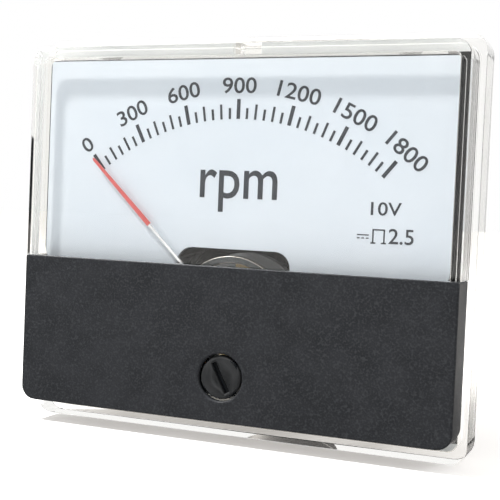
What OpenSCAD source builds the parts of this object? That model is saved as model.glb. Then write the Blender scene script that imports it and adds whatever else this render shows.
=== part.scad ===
// Speed indicator: a moving-coil panel meter with a clear two-step front, a black
// lower strip, a round rear housing, four mounting studs and a calibration control.
// Frame: +Z up, the dial faces -Y, the origin is the centre of the four studs on the
// plane where the front frame meets the panel. Sizes are in millimetres.

/* [Front frame] */
// Width of the front frame
front_w = 70; // [66:1:90]
// Height of the front frame
front_h = 60; // [58:1:80]
// Depth of the front frame, panel face to strip face
cover_depth = 12.5; // [12:0.1:14]
// Depth of the wider rear step of the clear cover
flange_depth = 6.2; // [5.6:0.1:6.8]
// How far the front step stands in from the rear step at the sides
side_step = 1; // [0.6:0.1:1.4]
// How far the front step stands in from the rear step at the top
end_step = 1.8; // [1.2:0.1:2]
// How far the front step stands in from the rear step at the foot
foot_step = 3.2; // [1.8:0.1:3.4]
// Corner radius of the front frame
corner_r = 2.5; // [2:0.1:4]
// Wall of the clear cover
cover_wall = 1.5; // [1.2:0.1:1.6]
// Height of the black lower strip
strip_h = 22.7; // [22:0.1:24]
// Wall of the lower strip
strip_wall = 1.1; // [0.9:0.1:1.2]
// How far the strip face stands proud of the window
strip_proud = 0.3; // [0.1:0.1:0.4]
// Wall of the clear cover behind the strip
sill_wall = 1; // [0.8:0.1:1.1]

/* [Dial] */
// Free depth between window and dial
dial_gap = 1.6; // [1.5:0.1:1.8]
// Thickness of the dial sheet
dial_t = 0.6; // [0.4:0.1:0.8]
// Lower edge of the dial, below the studs' centre
dial_low = 6; // [5:0.1:7]
// Radius of the dial's lower corners
dial_corner_r = 3.5; // [2:0.1:5]
// Width of the cut-out over the movement
cutout_w = 18; // [16:0.5:20]
// Height of the cut-out over the movement
cutout_h = 4.4; // [4.4:0.1:6]
// Radius of the cut-out's upper corners
cutout_r = 2.4; // [1:0.1:4]
// Width of the pale frame round the housing's rim
border_w = 4; // [3:0.1:4.6]
// Distance between the two dial screws
dial_screw_pitch = 50; // [48.5:0.1:52]
// Diameter of the dial screws
dial_screw_d = 2; // [1.6:0.1:2.2]

/* [Movement] */
// Depth of the pointer axis below the studs' centre
pivot_drop = 11.6; // [11.2:0.1:12]
// Travel of the pointer over the scale, in degrees
scale_sweep = 92; // [80:1:94]
// Length of the pointer from its axis
pointer_len = 33; // [30:0.5:34]
// Radius at which the pointer's wire arm widens into the vane
vane_start = 18.8; // [14:0.2:24]
// Width of the pointer's arm inside the vane
pointer_arm_w = 0.4; // [0.3:0.05:0.5]
// Width of the vane at its root
pointer_w = 0.7; // [0.6:0.05:1.2]
// Width of the vane at its tip
pointer_tip_w = 0.4; // [0.3:0.05:0.6]
// Radius of the core magnet
core_r = 4.8; // [4.2:0.1:4.9]
// Length of the core magnet and of the yoke
core_len = 9; // [8:0.1:9.4]
// Outer radius of the yoke ring
yoke_r = 7.8; // [7.7:0.05:7.8]
// Wall of the yoke ring
yoke_wall = 1.3; // [1:0.1:1.4]
// Half width of the coil over its winding
coil_half_w = 5.9; // [5.8:0.05:6]
// Outer radius of the ring of the front bearing bar
ring_r = 9; // [8.8:0.1:9]
// Width of that ring
ring_w = 1; // [0.8:0.1:1.2]
// Thickness of the winding
winding_t = 0.55; // [0.4:0.05:0.6]
// Thickness of the aluminium former
former_t = 0.2; // [0.15:0.05:0.25]
// Depth of the former along its face
former_w = 2.8; // [2:0.1:3]
// Half length of the coil over its winding
coil_half_len = 6; // [5.8:0.1:6.1]
// Turns of each hairspring
spring_turns = 4; // [3:0.5:5]
// Thickness of the hairspring strip
spring_t = 0.12; // [0.08:0.01:0.16]
// Depth of the zero adjuster axis below the studs' centre
zero_drop = 20.2; // [20:0.1:20.6]
// Throw of the zero adjuster's pin
zero_throw = 0.9; // [0.7:0.05:1]
// Diameter of the zero adjuster's head
zero_head_d = 6.4; // [5.6:0.1:7]

/* [Housing] */
// Outer radius of the round housing
body_r = 25.5; // [25.4:0.1:25.8]
// Depth of the round housing behind the panel face
body_depth = 23.2; // [22:0.1:26]
// Wall of the round housing
body_wall = 1.5; // [1.2:0.1:1.5]
// Thickness of the rear wall
rear_t = 1.8; // [1.5:0.1:2.2]
// Radius of the housing's rear edge
edge_r = 2; // [1:0.1:3]
// How much the housing narrows towards the rear
body_draft = 0; // [0:0.1:0.6]
// Thickness of the mounting floor
floor_t = 1.6; // [1.4:0.1:1.9]
// Height of the wall that stands inside the clear cover
tub_h = 3.6; // [3.2:0.1:4]
// Radius of the shallow groove round the foot of the housing
foot_r = 27.4; // [27:0.1:28]

/* [Mounting studs] */
// Distance between stud centres across
stud_pitch_x = 48; // [46:0.5:50]
// Distance between stud centres up and down
stud_pitch_z = 48; // [46:0.5:48]
// Stud thread diameter
stud_d = 3; // [2.5:0.1:3.2]
// Stud length behind the panel face
stud_len = 9; // [7:0.5:16]

/* [Terminals] */
// Distance between the terminals
term_pitch = 25; // [24.6:0.1:25.6]
// Height of the terminals above the studs' centre
term_rise = 9.4; // [8:0.1:9.8]
// Terminal thread diameter
term_d = 4; // [3:0.5:4]
// Terminal length behind the housing
term_out = 9.1; // [7:0.1:14]
// Radius of the recess round each terminal
recess_r = 5.5; // [5:0.1:5.6]
// Depth of the recess round each terminal
recess_depth = 2.5; // [1.5:0.1:3]

/* [Calibration control] */
// Height of the control above the studs' centre
pot_rise = 12.4; // [12:0.1:13]
// Radius of the control's case
pot_r = 6; // [5.6:0.1:6.1]
// Depth of the control's case
pot_depth = 8.6; // [7:0.1:10]
// Diameter of the threaded bushing
bush_d = 7; // [6.8:0.1:7.4]
// Bushing length behind the housing
bush_out = 4.2; // [3.4:0.1:6]
// Diameter of the shaft
shaft_d = 6; // [5:0.1:6]
// Shaft length behind the bushing
shaft_out = 8.8; // [6:0.1:14]
// Width across flats of the control's nut
pot_nut_af = 10; // [9:0.1:10.2]
// Thickness of the control's nut
pot_nut_t = 2; // [1.6:0.1:2.4]

/* [Rear cap] */
// Radius of the rear cap
cap_r = 10.9; // [10:0.1:11]
// Height of the rear cap
cap_h = 5.5; // [4:0.1:7]
// Height of the moulded collar under the cap
collar_h = 1.2; // [0.6:0.1:2]
// Depth of the cap's centre below the studs' centre
cap_drop = 14.2; // [13.8:0.1:14.4]

/* [Clearances] */
// Gap between parts that are fitted into each other
fit = 0.1; // [0.08:0.01:0.12]
// Radial gap of parts that turn
running = 0.05; // [0.04:0.01:0.06]

/* [Hidden] */
$fn = 48;
eps = 0.01;
corner_steps = 6;
window_y = -cover_depth + strip_proud;
strip_y = -cover_depth;
sill_y = strip_y + strip_wall;
dial_y = window_y + cover_wall + dial_gap;
dial_back_y = dial_y + dial_t;
front_half_w = front_w / 2 - side_step;
front_half_h = front_h / 2 - end_step;
front_low = -front_h / 2 + foot_step;
strip_top = front_low + strip_h;
front_r = corner_r - 0.3;
inner_r = 1;
base_w = front_w - 2 * cover_wall - 2 * fit;
base_h = front_h - 2 * cover_wall - 2 * fit;
base_wall = 1.5;
bore_r = body_r - body_wall;
rear_y = body_depth;
rear_in_y = body_depth - rear_t;
boss_r = 2.5;
stud_seat_r = 4.3;
stud_seat_depth = 0.7;
border_t = flange_depth - cover_wall - tub_h - 2 * fit;
rim_y = -tub_h - border_t;
stud_root = -rim_y - 0.5;
stud_root_d = stud_d + 0.4;
hook_w = 4.2;
hook_h = 1.1;
hook_l = 2.2;

pivot_z = -pivot_drop;
zero_z = -zero_drop;
half_sweep = scale_sweep / 2;
half_core = core_len / 2;
frame_t = 1.5;
frame_y = -floor_t - frame_t;
frame_r = 9.4;
arm_half_h = 2.6;
arm_drop = 4;
arm_screw_x = 25.2;
arm_end = arm_screw_x + 1.8;
pillar_x = 9.9;
pillar_r = 1.3;
bridge_t = 1.2;
bridge_half_h = 1.6;
bridge_half_w = 11.4;
front_bridge_y = sill_y + sill_wall + 1.1;
lever_t = 0.4;
lever_y = front_bridge_y - lever_t - running;
rear_bridge_y = coil_half_len + 2;
jewel_d = 1.8;
staff_d = 0.7;
staff_end_f = -coil_half_len - 2.2;
staff_end_r = coil_half_len + 1.35;
hub_r = 1.5;
hub_t = 0.5;
arm_y = -coil_half_len - 0.85;
needle_t = 0.25;
needle_y = dial_y - dial_gap / 2 - needle_t / 2;
crank_r = 9.75;
crank_w = 0.5;
stop_r = 8.4;
stop_d = 0.9;
stop_angle = half_sweep + 10;
spring_in_r = 0.95;
spring_h = 0.4;
spring_f_y = -coil_half_len - 1.7;
spring_r_y = coil_half_len + 0.5;
tab_r = 4.6;
tab_d = 0.7;
spring_out_r = tab_r - tab_d / 2 - spring_t / 2;
collet_r = spring_in_r - spring_t / 2;
rear_jewel_y = spring_r_y + spring_h + 2 * running;
front_jewel_y = front_bridge_y - lever_t - 3 * running;
jewel_head_t = 0.2;
strap_w = 2.4;
strap_t = 0.4;
weight_r = 3.3;
weight_d = 1.1;
zero_shaft_d = 3;
zero_pin_d = 0.8;
clip_t = 0.25;

wall_cup = 1.1;
cup_y = rear_y - recess_depth;
cup_in_y = cup_y - rear_t;
term_root_d = term_d + 0.4;
tag_t = 0.5;
tag_len = 7;
term_nut_af = 7;
term_nut_t = 2.2;
term_washer_r = 3.9;
term_washer_t = 0.6;
term_collar_r = 2.8;
term_collar_t = 0.9;
pot_washer_r = 5.9;
pot_washer_t = 0.5;
pot_leg_w = 1.4;
pot_leg_len = 4.6;
pot_leg_pitch = 4;
leg_t = 0.5;
shaft_in_d = shaft_d - 0.6;
shaft_cut_w = 0.9;
spigot_r = 7.6;
spigot_len = 4.2;
wire_d = 1.1;
bead = 1.12;
resistor_d = 2;
resistor_l = 4;

// A flat shape in X and Z, made into a plate from y0 with thickness t
module plate(y0, t) {
    translate([0, y0 + t, 0]) rotate([90, 0, 0]) linear_extrude(t) children();
}

// A rod along Y that starts at y0
module rod(d, y0, l) {
    translate([0, y0, 0]) rotate([-90, 0, 0]) cylinder(d = d, h = l);
}

// A round shape about Y, from a flat profile of radius and Y
module turned() {
    rotate([-90, 0, 0]) rotate_extrude() children();
}

// A hexagon nut along Y with a bore
module hex_nut(af, bore, y0, t) {
    difference() {
        translate([0, y0, 0]) rotate([-90, 0, 0])
            cylinder(r = af / 2 / cos(30), h = t, $fn = 6);
        rod(bore, y0 - 1, t + 2);
    }
}

// Points of an arc in the flat plane
function arc(cx, cy, r, a0, a1, n) =
    [for (i = [0:n]) let (a = a0 + (a1 - a0) * i / n) [cx + r * cos(a), cy + r * sin(a)]];

// A rectangle with round corners, given by its edges
module round_rect(x0, x1, z0, z1, r) {
    polygon(concat(
        arc(x1 - r, z1 - r, r, 0, 90, corner_steps),
        arc(x0 + r, z1 - r, r, 90, 180, corner_steps),
        arc(x0 + r, z0 + r, r, 180, 270, corner_steps),
        arc(x1 - r, z0 + r, r, 270, 360, corner_steps)));
}

// A centred rectangle with round corners
module centred_rect(w, h, r) {
    round_rect(-w / 2, w / 2, -h / 2, h / 2, r);
}

// The four stud places
module at_studs() {
    for (sx = [-1, 1], sz = [-1, 1])
        translate([sx * stud_pitch_x / 2, 0, sz * stud_pitch_z / 2]) children();
}

// The two terminal places
module at_terminals() {
    for (sx = [-1, 1]) translate([sx * term_pitch / 2, 0, term_rise]) children();
}

module at_pivot() {
    translate([0, 0, pivot_z]) children();
}

// The front step above the strip, drawn in from its outline by inset
module upper_outline(inset) {
    round_rect(-front_half_w + inset, front_half_w - inset, strip_top,
        front_half_h - inset, max(front_r - inset, inner_r));
}

// The front step from the strip down, drawn in from its outline by inset
module lower_outline(inset, top) {
    round_rect(-front_half_w + inset, front_half_w - inset, front_low + inset,
        top, max(front_r - inset, inner_r));
}

// Keeps the part of a flat shape that lies above or below the strip's edge
module above(z) {
    intersection() {
        children();
        translate([-front_w, z]) square([2 * front_w, front_h]);
    }
}

module below(z) {
    intersection() {
        children();
        translate([-front_w, z - front_h]) square([2 * front_w, front_h]);
    }
}

// A round wire along a list of points, with a ball at each bend
module wire(p, d) {
    for (i = [0:len(p) - 2]) let (v = p[i + 1] - p[i], l = norm(v)) translate(p[i]) {
        rotate([0, acos(v[2] / l), atan2(v[1], v[0])]) cylinder(d = d, h = l, $fn = 16);
        if (i > 0) sphere(d = d * bead, $fn = 16);
    }
}

module base_housing() {
    outer_r = body_r - body_draft;
    color("#15171a") difference() {
        union() {
            plate(-floor_t, floor_t) centred_rect(base_w, base_h, corner_r - cover_wall + 0.6);
            plate(-tub_h, tub_h) difference() {
                centred_rect(base_w, base_h, corner_r - cover_wall + 0.6);
                centred_rect(base_w - 2 * base_wall, base_h - 2 * base_wall, inner_r);
            }
            turned() polygon(concat([[0, -floor_t], [body_r, -floor_t], [body_r, 0]],
                arc(outer_r - edge_r, rear_y - edge_r, edge_r, 0, 90, corner_steps),
                [[0, rear_y]]));
            translate([0, 0, -cap_drop]) turned() polygon([[0, rear_in_y], [cap_r - 0.8, rear_in_y],
                [cap_r - 0.8, rear_y + 0.3], [cap_r - 1.1, rear_y + collar_h], [0, rear_y + collar_h]]);
            for (sx = [-1, 1]) {
                translate([sx * stud_pitch_x / 2, 0, stud_pitch_z / 2])
                    rod(2 * boss_r, dial_back_y, -dial_back_y);
                translate([sx * stud_pitch_x / 2, 0, -stud_pitch_z / 2])
                    rod(2 * boss_r, rim_y, -rim_y);
                translate([sx * dial_screw_pitch / 2, 0, -dial_low - 3.5])
                    rod(3.8, dial_back_y, -dial_back_y - floor_t + eps);
            }
        }
        difference() {
            turned() polygon([[0, -tub_h], [bore_r, -tub_h], [bore_r, rear_in_y], [0, rear_in_y]]);
            at_terminals() rod(2 * (recess_r + wall_cup), cup_in_y, rear_y - cup_in_y);
            for (sx = [-1, 1]) translate([sx * dial_screw_pitch / 2, 0, -dial_low - 3.5])
                rod(3.8, -tub_h - 1, tub_h + 1 - floor_t);
        }
        at_terminals() {
            rod(2 * recess_r, cup_y, recess_depth + 1);
            rod(term_root_d + 2 * running, cup_in_y - 1, rear_t + 2);
        }
        at_studs() {
            rod(stud_root_d + 2 * running, -stud_root, stud_root + 1);
            rod(2 * stud_seat_r, -stud_seat_depth, stud_seat_depth + 1);
        }
        turned() translate([foot_r - 0.8, -0.4]) square([0.8, 1]);
        translate([0, 0, pot_rise]) rod(bush_d + 2 * running, rear_in_y - 1, rear_t + 2);
        translate([0, 0, -cap_drop]) rod(2 * spigot_r + 2 * fit, rear_in_y - 1, rear_t + collar_h + 2);
        for (sx = [-1, 1]) {
            translate([sx * dial_screw_pitch / 2, 0, -dial_low - 3.5])
                rod(dial_screw_d + 2 * running, dial_back_y - 1, 4.4);
            translate([sx * arm_screw_x, 0, pivot_z - arm_drop]) rod(2 + 2 * running, -floor_t - 1, 2.2);
        }
        hook_notches(-tub_h - 1);
    }
}

// Notches for the cover's hooks, cut from y0 out past the panel face
module hook_notches(y0) {
    for (sz = [-1, 1]) translate([-hook_w / 2 - fit, y0,
        sz > 0 ? base_h / 2 - hook_h - fit : -base_h / 2 - 1])
        cube([hook_w + 2 * fit, 1 - y0, hook_h + fit + 1]);
}

// A flat pale frame that lies on the housing's rim, under the cover
module inner_frame() {
    color("#eef0ef") difference() {
        plate(rim_y, border_t) difference() {
            centred_rect(base_w, base_h, corner_r - cover_wall + 0.6);
            centred_rect(base_w - 2 * border_w, base_h - 2 * border_w, inner_r);
        }
        at_studs() rod(2 * boss_r + 2 * fit, rim_y - 1, border_t + 2);
        hook_notches(rim_y - 1);
    }
}

module front_cover() {
    lower_in = strip_wall + cover_wall - 0.3;
    hook_z = front_h / 2 - cover_wall;
    color("#dfe8ee", 0.35) {
        difference() {
            union() {
                plate(-flange_depth, flange_depth) centred_rect(front_w, front_h, corner_r);
                plate(window_y, -window_y - eps) above(strip_top)
                    centred_rect(2 * front_half_w, 2 * front_half_h, front_r);
                plate(sill_y, -sill_y - eps) below(strip_top + eps)
                    lower_outline(strip_wall + fit, strip_top + front_r + 1);
            }
            plate(-flange_depth + cover_wall, flange_depth) centred_rect(
                front_w - 2 * cover_wall, front_h - 2 * cover_wall, corner_r - cover_wall + 0.5);
            plate(window_y + cover_wall, -window_y) above(strip_top - cover_wall)
                centred_rect(2 * front_half_w - 2 * cover_wall, 2 * front_half_h - 2 * cover_wall, inner_r);
            plate(sill_y + sill_wall, -sill_y) below(strip_top)
                lower_outline(lower_in, strip_top + inner_r + 1);
            translate([0, 0, zero_z]) rod(zero_shaft_d + 2 * running, sill_y - 1, sill_wall + 2);
        }
        for (s = [-1, 1]) translate([-hook_w / 2, -hook_l, s > 0 ? hook_z - hook_h : -hook_z - eps])
            cube([hook_w, hook_l, hook_h + eps]);
    }
}

module lower_strip() {
    color("#2c2e31") difference() {
        plate(strip_y, cover_depth - flange_depth) below(strip_top)
            lower_outline(0, strip_top + front_r + 1);
        plate(sill_y, cover_depth) below(strip_top + 1)
            lower_outline(strip_wall, strip_top + front_r + 2);
        translate([0, 0, zero_z]) rod(zero_head_d + 0.5, strip_y - 1, strip_wall + 2);
    }
}

module dial_plate() {
    half_w = front_half_w - cover_wall - 2 * fit;
    top = front_half_h - cover_wall - 2 * fit;
    color("#e8eef4") plate(dial_y, dial_t) difference() {
        union() {
            polygon(concat(
                arc(half_w - inner_r, top - inner_r, inner_r, 0, 90, corner_steps),
                arc(-half_w + inner_r, top - inner_r, inner_r, 90, 180, corner_steps),
                arc(-half_w + dial_corner_r, -dial_low + dial_corner_r, dial_corner_r, 180, 270, 8),
                arc(half_w - dial_corner_r, -dial_low + dial_corner_r, dial_corner_r, 270, 360, 8)));
            for (sx = [-1, 1]) translate([sx * dial_screw_pitch / 2 - 2.6, -dial_low - 6])
                square([5.2, 6.5]);
        }
        round_rect(-cutout_w / 2, cutout_w / 2, -dial_low - cutout_r - 1,
            -dial_low + cutout_h, cutout_r);
        for (sx = [-1, 1]) translate([sx * dial_screw_pitch / 2, -dial_low - 3.5])
            circle(d = dial_screw_d + 4 * running);
    }
}

module dial_screws() {
    color("#b9bcc0") for (sx = [-1, 1])
        translate([sx * dial_screw_pitch / 2, 0, -dial_low - 3.5]) difference() {
            union() {
                rod(dial_screw_d * 1.8, dial_y - 0.7, 0.7);
                rod(dial_screw_d, dial_y - 0.7, 4.4);
            }
            translate([-2.5, dial_y - 1, -0.25]) cube([5, 0.6, 0.5]);
        }
}

module mounting_studs() {
    color("#c9c5ba") at_studs() difference() {
        union() {
            rod(stud_root_d, -stud_root, stud_root - stud_seat_depth);
            rod(stud_d, -stud_root + eps, stud_root + stud_len - eps);
        }
        rod(stud_d * 0.45, stud_len - 0.4, 1);
    }
}

module rear_cap() {
    cap_edge = 0.9;
    foot = collar_h;
    spigot = [[0, foot - spigot_len], [spigot_r, foot - spigot_len], [spigot_r, foot], [cap_r, foot]];
    color("#101214") translate([0, rear_y, -cap_drop]) turned() polygon(concat(
        spigot, arc(cap_r - cap_edge, cap_h - cap_edge, cap_edge, 0, 90, corner_steps), [[0, cap_h]]));
}

module terminal_studs() {
    root_y = cup_in_y - 3.4;
    collar_y = cup_y + term_washer_t + term_collar_t;
    tip_y = rear_y + term_out;
    color("#c8b07a") at_terminals() turned() polygon([[0, root_y], [term_root_d / 2, root_y],
        [term_root_d / 2, collar_y], [term_d / 2, collar_y], [term_d / 2, tip_y - 0.5],
        [term_d / 2 - 0.5, tip_y], [0, tip_y]]);
}

module terminal_washers() {
    color("#cfc8b4") at_terminals() difference() {
        union() {
            rod(2 * term_washer_r, cup_y, term_washer_t);
            rod(2 * term_collar_r, cup_y, term_washer_t + term_collar_t);
        }
        rod(term_root_d + 2 * running, cup_y - 1, 4);
    }
}

module terminal_nuts() {
    color("#c8b07a") at_terminals()
        hex_nut(term_nut_af, term_root_d + 2 * running, cup_in_y - tag_t - term_nut_t, term_nut_t);
}

module solder_tags() {
    color("#d8d2bd") at_terminals() plate(cup_in_y - tag_t, tag_t) difference() {
        union() {
            circle(d = term_nut_af);
            translate([-1.2, -tag_len]) square([2.4, tag_len]);
        }
        circle(d = term_root_d + 2 * running);
        translate([0, -tag_len + 1.2]) circle(d = 1.2);
    }
}

module at_pot() {
    translate([0, 0, pot_rise]) children();
}

module pot_case() {
    color("#8d9094") at_pot() difference() {
        rod(2 * pot_r, rear_in_y - pot_depth, pot_depth);
        rod(shaft_in_d + 2 * running, rear_in_y - 5, 6);
        rod(2 * pot_r - 2.4, rear_in_y - 5, 2);
        for (sx = [-1, 0, 1]) translate([sx * pot_leg_pitch - pot_leg_w / 2 - running,
            rear_in_y - pot_depth + 0.8, -pot_r - 1])
            cube([pot_leg_w + 2 * running, leg_t + 2 * running, 4]);
    }
}

module pot_bushing() {
    color("#b9bcc0") at_pot() difference() {
        rod(bush_d, rear_in_y, rear_t + bush_out);
        rod(shaft_in_d + 2 * running, rear_in_y - 1, rear_t + bush_out + 2);
    }
}

module pot_washer() {
    color("#c2c4c6") at_pot() difference() {
        rod(2 * pot_washer_r, rear_y, pot_washer_t);
        rod(bush_d + 2 * running, rear_y - 1, 3);
    }
}

module pot_nut() {
    color("#c2c4c6") at_pot()
        hex_nut(pot_nut_af, bush_d + 2 * running, rear_y + pot_washer_t, pot_nut_t);
}

module pot_tags() {
    leg_y = rear_in_y - pot_depth + 0.8 + running;
    color("#d8d2bd") at_pot() for (sx = [-1, 0, 1])
        translate([sx * pot_leg_pitch - pot_leg_w / 2, leg_y, -pot_r - pot_leg_len + 2])
            cube([pot_leg_w, leg_t, pot_leg_len + 0.9]);
}

module pot_shaft() {
    root_y = rear_in_y - 4.9;
    free_y = rear_y + bush_out + fit;
    tip_y = rear_y + bush_out + shaft_out;
    color("#c6c8ca") at_pot() rotate([0, 15, 0]) difference() {
        turned() polygon([[0, root_y], [shaft_in_d / 2, root_y], [shaft_in_d / 2, free_y],
            [shaft_d / 2, free_y], [shaft_d / 2, tip_y - 0.6], [shaft_d / 2 - 0.6, tip_y],
            [0, tip_y]]);
        rotate([0, 71, 0]) translate([-shaft_cut_w / 2, tip_y - shaft_out + 0.6, -shaft_d])
            cube([shaft_cut_w, shaft_out + 1, 2 * shaft_d]);
    }
}

module pot_wiper() {
    color("#d9b44a") at_pot() difference() {
        rod(2 * pot_r - 3.2, rear_in_y - 4.6, 1.2);
        rod(shaft_in_d, rear_in_y - 6, 4);
        translate([-pot_r, rear_in_y - 5, -pot_r]) cube([2 * pot_r, 3, pot_r - shaft_d / 2 + 1]);
    }
}

module movement_frame() {
    color("#6f7478") translate([0, 0, pivot_z]) difference() {
        plate(frame_y, frame_t) difference() {
            union() {
                circle(r = frame_r);
                translate([-bridge_half_w, -arm_drop]) square([2 * bridge_half_w, 2 + arm_drop]);
                translate([-arm_end, -arm_drop - arm_half_h]) square([2 * arm_end, 2 * arm_half_h]);
            }
            circle(r = yoke_r + running);
        }
        for (sx = [-1, 1]) {
            translate([sx * arm_screw_x, 0, -arm_drop]) rod(2 + 2 * running, frame_y - 1, frame_t + 2);
            translate([sx * pillar_x, 0, 0]) rod(1.4, frame_y - 1, frame_t + 2);
        }
    }
}

module frame_screws() {
    color("#b9bcc0") for (sx = [-1, 1]) translate([sx * arm_screw_x, 0, pivot_z - arm_drop])
        difference() {
            union() {
                rod(2, frame_y, frame_t + 0.9);
                rod(3.4, frame_y - 0.9, 0.9);
            }
            translate([-2, frame_y - 1, -0.25]) cube([4, 0.6, 0.5]);
        }
}

module frame_pillars() {
    front_l = frame_y - front_bridge_y - bridge_t;
    color("#c2a45c") at_pivot() for (sx = [-1, 1]) translate([sx * pillar_x, 0, 0]) difference() {
        union() {
            rod(2 * pillar_r, front_bridge_y + bridge_t, front_l);
            rod(2 * pillar_r, -floor_t, floor_t + rear_bridge_y);
            rod(1.3, frame_y - eps, frame_t + 2 * eps);
        }
        rod(0.9, front_bridge_y, 3.6);
        rod(0.9, rear_bridge_y - 2.4, 4);
    }
}

module yoke_ring() {
    color("#7d8287") at_pivot() difference() {
        rod(2 * yoke_r, -half_core, core_len);
        rod(2 * (yoke_r - yoke_wall), -half_core - 1, core_len + 2);
    }
}

module core_magnet() {
    color("#4c4f52") at_pivot() rod(2 * core_r, -half_core, core_len);
}

// Brass straps that hold the core across each end of the yoke, clear of the coil
module core_straps() {
    color("#c2a45c") at_pivot() for (y0 = [-half_core - strap_t, half_core])
        plate(y0, strap_t) intersection() {
            circle(r = yoke_r - 0.1);
            square([strap_w, 2 * yoke_r], center = true);
        }
}

// A bearing bar with its ends on the pillars
module bridge(y0) {
    at_pivot() plate(y0, bridge_t) difference() {
        union() {
            translate([-bridge_half_w, -bridge_half_h]) square([2 * bridge_half_w, 2 * bridge_half_h]);
            circle(r = 2.4);
        }
        circle(d = jewel_d + 2 * running);
        for (sx = [-1, 1]) translate([sx * pillar_x, 0]) circle(d = 0.9 + 2 * running);
    }
}

module front_bridge() {
    color("#b8a262") {
        bridge(front_bridge_y);
        at_pivot() plate(front_bridge_y, bridge_t) difference() {
            circle(r = ring_r, $fn = 96);
            circle(r = ring_r - ring_w, $fn = 96);
        }
    }
}

module rear_bridge() {
    color("#b8a262") {
        bridge(rear_bridge_y);
        at_pivot() translate([0, 0, tab_r - 1]) {
            plate(rear_bridge_y, bridge_t) translate([-tab_d / 2, -2]) square([tab_d, 2 + tab_d]);
            plate(spring_r_y, rear_bridge_y - spring_r_y + eps)
                translate([-tab_d / 2, 0.9]) square([tab_d, tab_d]);
            plate(rear_bridge_y, bridge_t) translate([-tab_d / 2, 0]) square([tab_d, 1.6]);
        }
    }
}

module bridge_screws() {
    color("#b9bcc0") at_pivot() for (sx = [-1, 1]) translate([sx * pillar_x, 0, 0]) {
        rod(0.9, front_bridge_y - 0.1, 3.4);
        rod(2, front_bridge_y - 0.6, 0.6);
        rod(0.9, rear_bridge_y - 2.2, 2.4 + bridge_t);
        rod(2, rear_bridge_y + bridge_t, 0.6);
    }
}

module jewel_screws() {
    color("#d4af57") at_pivot() {
        difference() {
            union() {
                rod(jewel_d, front_jewel_y, spring_f_y - 3 * running - front_jewel_y);
                rod(2.4, front_jewel_y - jewel_head_t, jewel_head_t);
            }
            rod(staff_d + 2 * running, staff_end_f - 2 * running, 1.5);
        }
        difference() {
            rod(jewel_d, rear_jewel_y, rear_bridge_y + bridge_t + 0.3 - rear_jewel_y);
            rod(staff_d + 2 * running, staff_end_r - 1.4, 1.4 + 2 * running);
        }
    }
}

module pointer_stops() {
    color("#c2a45c") at_pivot() for (s = [-1, 1]) rotate([0, s * stop_angle, 0])
        translate([0, 0, stop_r]) rod(stop_d, arm_y - 0.3, frame_y - arm_y + 0.3);
}

module zero_screw() {
    head_y = strip_y + 0.2;
    shaft_end = sill_y + sill_wall + clip_t + 0.1;
    color("#1b1d20") translate([0, 0, zero_z]) difference() {
        union() {
            rod(zero_head_d, head_y, sill_y - running - head_y);
            rod(zero_shaft_d, sill_y - running - eps, shaft_end - sill_y + running + eps);
            translate([0, 0, zero_throw]) rod(zero_pin_d, shaft_end - eps, lever_y + lever_t - shaft_end);
        }
        rotate([0, 38, 0]) translate([-zero_head_d, head_y - 1, -0.5])
            cube([2 * zero_head_d, 1.5, 1]);
    }
}

module zero_clip() {
    color("#b9bcc0") translate([0, 0, zero_z]) difference() {
        rod(4.6, sill_y + sill_wall + running, clip_t);
        rod(zero_shaft_d, sill_y, sill_wall + 2);
    }
}

// Turns on the front bearing, with a fork on the adjuster's pin and a spring tab
module zero_lever() {
    slot_w = zero_pin_d + 2 * running + 0.02;
    fork_low = zero_drop - pivot_drop + zero_pin_d / 2;
    color("#c2a45c") at_pivot() {
        plate(lever_y, lever_t) difference() {
            union() {
                circle(d = 4.2);
                translate([-1.3, -fork_low]) square([2.6, fork_low]);
                translate([-0.6, 0]) square([1.2, tab_r + tab_d / 2]);
            }
            circle(d = jewel_d + 2 * running);
            translate([-slot_w / 2, -fork_low - 1])
                square([slot_w, fork_low + 1 - (zero_drop - pivot_drop - zero_throw) + zero_pin_d / 2 + 0.1]);
        }
        translate([-tab_d / 2, lever_y, tab_r - tab_d / 2])
            cube([tab_d, spring_f_y + spring_h - lever_y, tab_d]);
    }
}

// Drawn at the zero mark: hub, two balance arms, cranked arm and tapered needle
module pointer() {
    color("#c8281e") at_pivot() rotate([0, -half_sweep, 0]) {
        difference() {
            union() {
                rod(2 * hub_r, arm_y, hub_t);
                translate([-0.4, arm_y, 0]) cube([0.8, 0.4, crank_r]);
                for (s = [-1, 1]) rotate([0, s * 120, 0])
                    translate([-0.3, arm_y, 0]) cube([0.6, 0.4, weight_r + 0.5]);
            }
            rod(staff_d, arm_y - 1, 3);
            for (s = [-1, 1]) rotate([0, s * 120, 0])
                translate([0, 0, weight_r]) rod(0.3, arm_y - 1, 2);
        }
        translate([-0.4, needle_y, crank_r - crank_w]) cube([0.8, arm_y + 0.4 - needle_y, crank_w]);
        plate(needle_y, needle_t) {
            translate([-pointer_arm_w / 2, crank_r - crank_w])
                square([pointer_arm_w, vane_start - crank_r + 1]);
            polygon([[-pointer_w / 2, vane_start], [pointer_w / 2, vane_start],
                [pointer_tip_w / 2, pointer_len - 0.4], [0, pointer_len],
                [-pointer_tip_w / 2, pointer_len - 0.4]]);
        }
    }
}

module balance_weights() {
    color("#b9bcc0") at_pivot() rotate([0, -half_sweep, 0]) for (s = [-1, 1])
        rotate([0, s * 120, 0]) translate([0, 0, weight_r]) difference() {
            rod(weight_d, arm_y - 0.35, 0.35);
            rod(0.3, arm_y - 1, 2);
        }
}

// A rectangular frame round the core, in the plane of the coil
module coil_frame(half_w, half_len, t, depth) {
    at_pivot() rotate([0, -half_sweep, 0]) translate([0, 0, -depth / 2]) linear_extrude(depth)
        difference() {
            square([2 * half_w, 2 * half_len], center = true);
            square([2 * (half_w - t), 2 * (half_len - t)], center = true);
        }
}

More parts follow.
